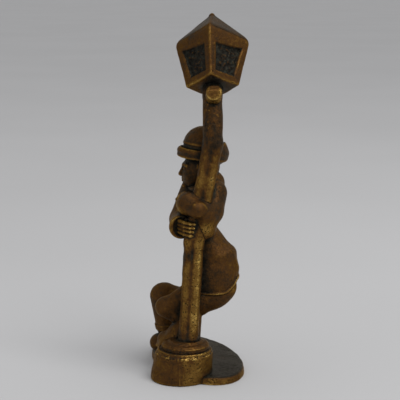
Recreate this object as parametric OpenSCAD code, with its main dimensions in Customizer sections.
// Brass table figurine: a tippler in a bowler hat hugging a crooked street lamp.
// Every casting is a separate piece, pegged or socketed to its neighbours.
//
// Millimetres, +Z up. The origin is the centre of the oval base's underside.
// The man faces -Y and the lamp post stands at his left side, on +X.

/* [Base] */
// Length of the oval base
base_length = 52.5; // [51:0.5:56]
// Width of the oval base
base_width = 28.4; // [27.6:0.2:30]
// Thickness of the oval base
base_thickness = 2.6; // [2.2:0.1:3.2]
// How far the oval is turned from the X axis, in degrees
base_turn = 19; // [17:0.5:21]

/* [Plinth] */
// Diameter of the drum at the table
drum_d = 21; // [20.6:0.1:21.6]
// Diameter of the drum at its top edge
drum_top_d = 18.6; // [18:0.1:19.2]
// Height of the drum
drum_h = 9.2; // [9:0.1:9.4]
// Diameter of the disc that stands on the drum
collar_d = 15.4; // [15:0.1:15.8]
// Height of that disc above the drum's edge, without its sloping top
collar_h = 3; // [2.8:0.1:3.2]

/* [Lamp post] */
// Diameter of the post
post_d = 6.4; // [6.2:0.1:6.5]
// Depth of the flat that is filed along the post's outer side
flat_depth = 0.9; // [0.5:0.1:1.2]
// Radius of the bend below the lantern
bend_r = 29; // [27:0.5:31]
// How far the top of the post leans over the man, in degrees
lean = 32.5; // [31:0.5:34]
// Diameter of the two short ladder arms
arm_d = 5; // [4.6:0.1:5.2]
// Reach of each ladder arm from the centre of the post
arm_reach = 7.6; // [6.6:0.2:8.6]

/* [Lantern] */
// Corner to corner across the lantern's floor
lantern_floor = 16.8; // [16.4:0.1:17.2]
// Corner to corner across the lantern's eaves
lantern_eaves = 23.7; // [23.2:0.1:24.2]
// Height of the glazed part
lantern_h = 16.9; // [16.4:0.1:17.4]
// Height of the pointed roof
roof_h = 10.8; // [10:0.2:12]
// Depth of the sunken panes
pane_depth = 0.9; // [0.5:0.1:1.2]

/* [Figure] */
// Height of the hat's crown above the brim
crown_h = 9.4; // [9:0.1:9.8]
// Length of the legs' ankle pegs
ankle_peg = 2; // [1.6:0.1:2.2]
// Diameter of the pegs that join arms, legs and head to the coat
peg_d = 2.6; // [2.2:0.1:2.8]
// Clearance around every peg in its socket, on the radius
peg_gap = 0.05; // [0.03:0.01:0.1]

/* [Hidden] */
$fn = 64;
soft_fn = 19;

brass = [0.62, 0.47, 0.20];
brown = [0.36, 0.25, 0.14];
dark = [0.25, 0.19, 0.13];
umber = [0.30, 0.22, 0.13];

post_r = post_d / 2;
post_x = 16.8;
plinth_y = -4.8;
collar_y = -3.8;
ledge = 0.9;
drum_r = drum_d / 2;
collar_top = drum_h + collar_h;
socket_r = 1.9;

// The post's centre line: foot, knee, the start and the end of its bend
post_foot = [post_x, -3, drum_h + 2];
post_low = [post_x, -1, 46];
post_top = [post_x, 5.1, 78];
post_end = on_bend(lean);
stub = 2.6;
arm_drop = 2.2;
arm_shift = 0.4;
lantern_at = post_end + stub * [-sin(lean), 0, cos(lean)];
lantern_turn = -2.5;
arm_lean = lean - arm_drop / bend_r * 180 / PI;
arm_at = on_bend(arm_lean);

// The man's joints, right side first where there are two
right_hip = [0.5, 6.5, 25.5];
left_hip = [7.4, 6, 28];
right_knee = [-4, -11.7, 22.6];
left_knee = [9, -9.4, 22.4];
right_ankle = [-5, -10.6, 11.4];
left_ankle = [9.3, -2.6, 16];
right_shoulder = [-1.2, 1.8, 59.6];
left_shoulder = [9.8, 4.9, 60.4];
right_elbow = [0.6, -4.8, 50.4];
left_elbow = [14, 4.4, 55.8];
right_wrist = [10.6, -5, 50.6];
left_turn = [20.8, 0.2, 57.5];
left_wrist = [17.4, -2.6, 58.8];
head_at = [5, 0.6, 68.2];
hat_at = [5, 1.7, 73.2];
hat_tilt = [-6, 0, 0];

// A solid bar from one point to another
module bar(a, b, r1, r2) {
  d = b - a;
  translate(a)
    rotate([0, acos(d[2] / norm(d)), atan2(d[1], d[0])])
      cylinder(h = norm(d), r1 = r1, r2 = r2);
}

// One egg shape, used inside hulls
module egg(at, size) {
  translate(at)
    scale(size)
      sphere(r = 1, $fn = soft_fn);
}

// A limb with round ends
module limb(a, ra, b, rb) {
  hull() {
    egg(a, [ra, ra, ra]);
    egg(b, [rb, rb, rb]);
  }
}

// Room for the run of the post that the man holds
module held_post() {
  bar(post_low, post_top, post_r + 0.02, post_r + 0.02);
}

// ---------- base and plinth ----------

// An upright oval, smaller than the base by inset all round
module oval(inset, h) {
  rotate([0, 0, base_turn])
    linear_extrude(height = h)
      scale([base_length / 2 - inset, base_width / 2 - inset])
        circle(r = 1);
}

module base_plate() {
  color(umber)
    difference() {
      union() {
        oval(0, base_thickness - 0.6);
        oval(0.3, base_thickness);
      }
      // seat for the drum, cut right through
      translate([post_x, plinth_y, -1])
        cylinder(h = base_thickness + 2, r = drum_r + 0.02);
      // socket for the right shoe's pin
      translate([right_ankle[0], right_ankle[1] + 0.6, 0.8])
        cylinder(h = base_thickness, r = 0.9 + peg_gap);
    }
}

module plinth_drum() {
  rim = drum_top_d / 2;
  color(brown)
    difference() {
      translate([post_x, plinth_y, 0])
        rotate_extrude()
          polygon([
            [0, 0], [drum_r - 0.3, 0], [drum_r, 0.4], [drum_r - 0.1, base_thickness],
            [rim, drum_h - 0.6], [rim - 0.5, drum_h], [rim - 1.3, drum_h + ledge],
            [0, drum_h + ledge]
          ]);
      // recess that locates the disc above
      translate([post_x, collar_y, drum_h + ledge - 1.3])
        cylinder(h = 2, r = 5 + peg_gap);
      // socket for the post's tenon
      translate([post_foot[0], post_foot[1], 3])
        cylinder(h = drum_h, r = socket_r + peg_gap);
      // socket for the left shoe's pin
      translate([left_ankle[0] - 0.6, -6.6, drum_h - 3])
        cylinder(h = 6, r = 0.9 + peg_gap);
    }
}

module plinth_collar() {
  r = collar_d / 2;
  color(dark)
    difference() {
      translate([post_x, collar_y, drum_h])
        rotate_extrude()
          polygon([
            [0, ledge - 1.2], [5, ledge - 1.2], [5, ledge], [r - 0.7, ledge], [r, ledge + 0.6],
            [r, collar_h - 0.5], [r - 0.5, collar_h], [post_r + 1.9, collar_h + 0.9],
            [0, collar_h + 0.9]
          ]);
      // hole for the post's tenon, then its seat
      translate([post_foot[0], post_foot[1], 0])
        cylinder(h = 20, r = socket_r + peg_gap);
      translate([post_foot[0], post_foot[1], post_foot[2]])
        cylinder(h = 9, r = post_r + 0.35);
    }
}

// ---------- lamp post and lantern ----------

// Everything below is drawn upright at the top of the post, then leaned over
module leaned(at) {
  translate(at)
    rotate([0, -lean, 0])
      children();
}

module leaned_arm() {
  translate(arm_at + [0, arm_shift, 0])
    rotate([0, -arm_lean, 0])
      children();
}

// A point on the centre line of the bend
function on_bend(turn) = post_top + bend_r * [cos(turn) - 1, 0, sin(turn)];

module lamp_post() {
  color(brass)
    difference() {
      union() {
        // tenon in the plinth
        translate([post_foot[0], post_foot[1], 3.2])
          cylinder(h = post_foot[2] - 2.2, r = socket_r);
        translate(post_foot)
          cylinder(h = 1.4, r = post_r + 0.3);
        bar(post_foot + [0, 0, 0.6], post_low, post_r + 0.1, post_r);
        knee(post_low);
        bar(post_low, post_top, post_r, post_r);
        knee(post_top);
        // the bend, in three short runs
        for (k = [0 : 2]) {
          bar(on_bend(k * lean / 3), on_bend((k + 1) * lean / 3), post_r, post_r);
          knee(on_bend((k + 1) * lean / 3));
        }
        leaned(post_end)
          cylinder(h = stub - 0.01, r = post_r);
        leaned(post_end)
          cylinder(h = stub + 4, r = socket_r);
      }
      // filed flat on the outer side
      translate([post_x + post_r - flat_depth, -20, 14])
        cube([10, 40, 62]);
      // cross hole for the ladder arms' pegs
      leaned_arm()
        rotate([0, 90, 0])
          cylinder(h = 20, r = 1.3 + peg_gap, center = true);
    }
}

// A slight swelling where the post changes direction
module knee(at) {
  translate(at)
    sphere(r = post_r + 0.15);
}

module ladder_arm(side) {
  color(brass)
    leaned_arm()
      rotate([0, side * 90, 0])
        difference() {
          union() {
            translate([0, 0, 0.6])
              cylinder(h = post_r, r = 1.3);
            cylinder(h = arm_reach - 0.5, r = arm_d / 2);
            translate([0, 0, arm_reach - 0.5])
              cylinder(h = 0.5, r1 = arm_d / 2, r2 = arm_d / 2 - 0.5);
          }
          // hollowed to sit on the round post
          translate([0, -arm_shift, 0])
            rotate([0, 90, 0])
              difference() {
                cylinder(h = 30, r = post_r + 0.3, center = true);
                translate([0, arm_shift, 0])
                  rotate([0, 90, 0])
                    cylinder(h = 30, r = 1.3, center = true);
              }
          translate([0, 0, -1.4])
            cylinder(h = 2, r = 10);
        }
}

module left_ladder_arm() {
  ladder_arm(1);
}

module right_ladder_arm() {
  ladder_arm(-1);
}

// One sunken pane, drawn on a sloping face of the lantern
module pane() {
  low = lantern_floor / 2 * cos(45);
  high = lantern_eaves / 2 * cos(45);
  slope = atan((high - low) / lantern_h);
  translate([low, 0, 0])
    rotate([0, slope, 0])
      rotate([90, 0, 90])
        translate([0, 0, -pane_depth])
          linear_extrude(height = 3)
            polygon([
              [-low + 2, 2.2], [low - 2, 2.2], [high - 3, lantern_h - 4.4],
              [-high + 3, lantern_h - 4.4]
            ]);
}

module lantern_body() {
  color(dark)
    leaned(lantern_at)
      rotate([0, 0, lantern_turn])
        difference() {
          cylinder(h = lantern_h, d1 = lantern_floor, d2 = lantern_eaves, $fn = 4);
          for (turn = [45 : 90 : 315])
            rotate([0, 0, turn])
              pane();
          // socket for the post, and one for the roof's spigot
          translate([0, 0, -1])
            cylinder(h = 5.4, r = socket_r + peg_gap);
          translate([0, 0, lantern_h - 2])
            cylinder(h = 3, r = 4 + peg_gap);
        }
}

module lantern_roof() {
  color(dark)
    leaned(lantern_at)
      rotate([0, 0, lantern_turn])
        translate([0, 0, lantern_h]) {
          cylinder(h = roof_h, d1 = lantern_eaves, d2 = 1, $fn = 4);
          translate([0, 0, -1.8])
            cylinder(h = 2.4, r = 4);
        }
}

// ---------- the man's clothes ----------

// The coat's body without its sockets: chest, waist and seat
module coat_shape() {
  hull() {
    egg([4.6, 2.2, 57], [7.4, 5.4, 6]);
    egg([4.6, 4.8, 59.6], [6.6, 4, 5.8]);
    egg([4.4, 1.4, 49.6], [6.4, 4.6, 3]);
  }
  hull() {
    egg([4.4, 1.4, 49.4], [6.4, 4.6, 3]);
    egg([4.4, 4.6, 40], [7.7, 8, 5]);
    egg([4.2, 5.2, 32], [8.9, 9.2, 9]);
  }
}

// The slope of the coat's hem, higher at the back
module below_hem() {
  translate([4.4, 4, 26.8])
    rotate([14, 0, 0])
      translate([-30, -40, -30])
        cube([60, 80, 30]);
}

// Under the coat's skirt the legs stop at the hem
module above_hem() {
  translate([4.4, 4, 26.8])
    rotate([14, 0, 0])
      translate([-30, -3, 0])
        cube([60, 40, 30]);
}

// Pegs leave the coat along these lines
module neck_line(r, h) {
  translate([4.9, 1.6, 59])
    cylinder(h = h, r = r);
}

module hip_line(at, r, h) {
  translate([at[0], at[1] - 1, 24])
    cylinder(h = h, r = r);
}

module shoulder_line(at, side, r, h) {
  translate([at[0] - side * 4.5, at[1], at[2] - 1])
    rotate([0, side * 90, 0])
      cylinder(h = h, r = r);
}

module coat() {
  color(brown)
    difference() {
      coat_shape();
      below_hem();
      neck_line(peg_d / 2 + peg_gap, 8);
      hip_line(right_hip, peg_d / 2 + peg_gap, 9.5);
      hip_line(left_hip, peg_d / 2 + peg_gap, 9.5);
      shoulder_line(right_shoulder, -1, peg_d / 2 + peg_gap, 9);
      shoulder_line(left_shoulder, 1, peg_d / 2 + peg_gap, 9);
    }
}

// Turned-up collar around the neck
module coat_collar() {
  color(dark)
    difference() {
      hull() {
        egg([4.9, 1.8, 62.4], [5.6, 4.8, 2.2]);
        egg([4.9, 2.6, 60.8], [6.4, 5.2, 2]);
      }
      coat_shape();
      head_shape();
      neck();
      limb(right_shoulder, 4.3, right_elbow, 4.5);
      limb(left_shoulder, 4.6, left_elbow, 4.2);
    }
}

module leg_shape(hip, seat, thigh, low, knee, ankle) {
  hull() {
    egg(hip, seat);
    egg(thigh, [4.2, 4.6, low]);
    egg(knee + [0, 1, 0], [4.2, 4.2, 4.2]);
  }
  limb(knee, 4.6, ankle, 3.5);
}

module right_leg() {
  color(umber)
    difference() {
      union() {
        difference() {
          leg_shape(right_hip, [4.6, 6.8, 4.8], [-1.4, -2, 21], 4, right_knee, right_ankle);
          above_hem();
        }
        hip_line(right_hip, peg_d / 2, 9);
        translate(right_ankle - [0, 0, ankle_peg + 1.8])
          cylinder(h = 4, r = 1.1);
      }
      difference() {
        coat_shape();
        below_hem();
        hip_line(right_hip, peg_d / 2, 9);
      }
      // the legs meet at the seam between them
      translate([4.2, -40, 0])
        cube([20, 80, 60]);
    }
}

module left_leg() {
  color(umber)
    difference() {
      union() {
        difference() {
          leg_shape(left_hip, [3.8, 7.4, 6.6], [8.4, 0.4, 23], 5.8, left_knee, left_ankle);
          above_hem();
        }
        hip_line(left_hip, peg_d / 2, 9);
        translate(left_ankle - [0, 0, ankle_peg + 2.2])
          cylinder(h = 4, r = 1.1);
      }
      difference() {
        coat_shape();
        below_hem();
        hip_line(left_hip, peg_d / 2, 9);
      }
      translate([-15.8, -40, 0])
        cube([20, 80, 60]);
      bar(post_foot, post_low, post_r + 0.15, post_r + 0.05);
      plinth_clear();
    }
}

// Room taken by the disc under the post
module plinth_clear() {
  translate([post_x, collar_y, drum_h])
    cylinder(h = collar_h + 1, r = collar_d / 2 + 0.02);
  translate([post_x, plinth_y, drum_h])
    cylinder(h = ledge, r1 = drum_top_d / 2 - 0.48, r2 = drum_top_d / 2 - 1.28);
}

module right_shoe() {
  x = right_ankle[0];
  y = right_ankle[1];
  color(brown)
    difference() {
      union() {
        hull() {
          egg([x, y - 2.2, base_thickness + 3.6], [3.8, 3.8, 3.9]);
          egg([x + 0.2, y + 3, base_thickness + 2.8], [3.2, 3, 3.4]);
          egg([x, y + 0.6, base_thickness + 5], [3.2, 3, 3]);
        }
        translate([x, y + 0.6, 1])
          cylinder(h = 4, r = 0.9);
      }
      difference() {
        translate([x - 10, y - 10, -2])
          cube([20, 20, base_thickness + 2]);
        translate([x, y + 0.6, 1])
          cylinder(h = 4, r = 0.9);
      }
      limb(right_knee, 4.6, right_ankle, 3.5);
      translate(right_ankle - [0, 0, ankle_peg + 1.9])
        cylinder(h = 5, r = 1.1 + peg_gap);
    }
}

module left_shoe() {
  x = left_ankle[0] - 0.6;
  color(brown)
    difference() {
      union() {
        hull() {
          egg([x, -10.2, drum_h + 1.8], [3.4, 3.2, 2.6]);
          egg([x, -3, drum_h + 1.8], [3, 3.4, 3]);
          egg([x, -3.8, drum_h + 5.8], [2.9, 3.1, 2.9]);
        }
        translate([x, -6.6, drum_h - 2.6])
          cylinder(h = 4, r = 0.9);
      }
      difference() {
        translate([x - 10, -20, drum_h - 5])
          cube([20, 30, 5]);
        translate([x, -6.6, drum_h - 2.6])
          cylinder(h = 4, r = 0.9);
      }
      limb(left_knee, 4.6, left_ankle, 3.5);
      translate(left_ankle - [0, 0, ankle_peg + 2.3])
        cylinder(h = 5, r = 1.1 + peg_gap);
      plinth_clear();
      bar(post_foot, post_low, post_r + 0.15, post_r + 0.05);
    }
}

// ---------- arms ----------

module right_sleeve() {
  color(brown)
    difference() {
      union() {
        limb(right_shoulder, 4.3, right_elbow, 4.5);
        limb(right_elbow, 4.5, right_wrist, 3.6);
        shoulder_line(right_shoulder, -1, peg_d / 2, 8);
      }
      difference() {
        coat_shape();
        shoulder_line(right_shoulder, -1, peg_d / 2, 8);
      }
      hand_line(right_wrist, 1);
      head_shape();
      neck();
    }
}

module left_sleeve() {
  color(brown)
    difference() {
      union() {
        limb(left_shoulder, 4.6, left_elbow, 4.2);
        limb(left_elbow, 4.2, left_turn, 2.7);
        limb(left_turn, 2.7, left_wrist, 4.2);
        shoulder_line(left_shoulder, 1, peg_d / 2, 8);
      }
      difference() {
        coat_shape();
        shoulder_line(left_shoulder, 1, peg_d / 2, 8);
      }
      held_post();
      cuff_clear();
      head_shape();
      neck();
    }
}

// The left cuff's room in the sleeve
module cuff_clear() {
  limb([16.6, -3, 59], 3.4, [13.4, -4.4, 58.6], 3.2);
}

module hand_line(at, side) {
  translate(at - [0.5, 0, 0])
    rotate([0, side * 90, 0])
      cylinder(h = 6, r = 1 + (side > 0 ? peg_gap : 0));
}

module right_cuff() {
  color(umber)
    difference() {
      limb([13.2, -5.2, 50.6], 3.9, [13.8, -5.2, 50.6], 3.8);
      limb(right_elbow, 4.5, right_wrist, 3.6);
      hand_line(right_wrist, 1);
      palm();
      held_post();
      translate([15, -15, 40])
        cube([10, 20, 20]);
    }
}

module left_cuff() {
  color(brass)
    difference() {
      cuff_clear();
      held_post();
      coat_shape();
      translate([6, -15, 50])
        cube([7, 20, 20]);
    }
}

module palm() {
  hull() {
    egg([15.6, -4.8, 50.8], [2, 2.2, 3]);
    egg([18.4, -4, 50.8], [1.8, 1.6, 2.9]);
  }
}

// Four fingers laid side by side around the post
module right_hand() {
  color(brass)
    difference() {
      union() {
        palm();
        for (k = [0 : 3])
          limb([18.6, -4.2, 52.9 - 1.4 * k], 0.95, [20.4, -0.9 - 0.2 * k, 53 - 1.4 * k], 0.8);
        translate([10.4, -5, 50.6])
          rotate([0, 90, 0])
            cylinder(h = 5, r = 1);
      }
      held_post();
      difference() {
        limb(right_elbow, 4.5, right_wrist, 3.6);
        translate([9, -5, 50.6])
          rotate([0, 90, 0])
            cylinder(h = 8, r = 1);
      }
    }
}

module left_hand() {
  color(brown)
    difference() {
      limb([12, -5, 58], 2.4, [8.8, -4.6, 56.8], 2.1);
      cuff_clear();
      coat_shape();
      limb(right_shoulder, 4.3, right_elbow, 4.5);
      limb(right_elbow, 4.5, right_wrist, 3.6);
    }
}

// ---------- head and hat ----------

module head_shape() {
  hull() {
    egg(head_at + [0, 0.6, 0.8], [5.3, 5.9, 5.6]);
    egg(head_at + [0, -1.8, -2.4], [4.2, 3.8, 3.6]);
  }
}

module neck() {
  translate([4.9, 1.6, 60.4])
    cylinder(h = 5, r = 3.4);
}

// The head with a plain nose and ears
module head() {
  color(brown)
    difference() {
      union() {
        head_shape();
        egg(head_at + [0, -5.6, -0.2], [1, 1.3, 1.4]);
        egg(head_at + [5.1, 0.8, 0.2], [0.7, 1.1, 1.6]);
        egg(head_at + [-5.1, 0.8, 0.2], [0.7, 1.1, 1.6]);
        neck_line(peg_d / 2, 6);
        neck();
      }
      // seat for the hat, and a socket for its pin
      hat_frame()
        cylinder(h = 12, r = 20);
      hat_frame()
        translate([0, 0, -3])
          cylinder(h = 4, r = 1.4 + peg_gap);
      difference() {
        coat_shape();
        neck_line(peg_d / 2, 6);
      }
    }
}

module hat_frame() {
  translate(hat_at)
    rotate(hat_tilt)
      children();
}

// Rolled brim, deeper at the back
module hat_brim() {
  color(dark)
    difference() {
      hat_frame()
        hull() {
          egg([0, 0, 1], [8, 8.5, 2.8]);
          egg([0, 3.6, 0.8], [5.6, 5, 4.6]);
        }
      hat_frame()
        translate([0, 0, 1.4])
          scale([7.1, 7.4, 4])
            sphere(r = 1);
      hat_frame()
        translate([0, 0, 1.4])
          cylinder(h = 9, r = 7.05);
      hat_frame()
        translate([0, 0, -9])
          cylinder(h = 9, r = 5.6);
      head_shape();
      hat_frame()
        translate([0, 0, -1])
          cylinder(h = 9, r = 1.4 + peg_gap);
    }
}

module hat_band() {
  color(brown)
    hat_frame()
      difference() {
        translate([0, 0, 1.2])
          cylinder(h = 2.4, r1 = 6.7, r2 = 6.6);
        cylinder(h = 9, r = 5.6 + 0.02);
      }
}

module hat_crown() {
  color(dark)
    hat_frame() {
      difference() {
        union() {
          cylinder(h = 3.6, r = 5.6);
          translate([0, 0, 3.6])
            intersection() {
              scale([6.6, 6.6, crown_h - 3.6])
                sphere(r = 1);
              cylinder(h = 20, r = 20);
            }
        }
        translate([0, 0, -1])
          cylinder(h = 0.8, r = 9);
      }
      translate([0, 0, -2.6])
        cylinder(h = 4, r = 1.4);
    }
}

base_plate();
plinth_drum();
plinth_collar();
lamp_post();
left_ladder_arm();
right_ladder_arm();
lantern_body();
lantern_roof();
right_shoe();
left_shoe();
right_leg();
left_leg();
coat();
coat_collar();
right_sleeve();
left_sleeve();
right_cuff();
left_cuff();
right_hand();
left_hand();
head();
hat_brim();
hat_band();
hat_crown();
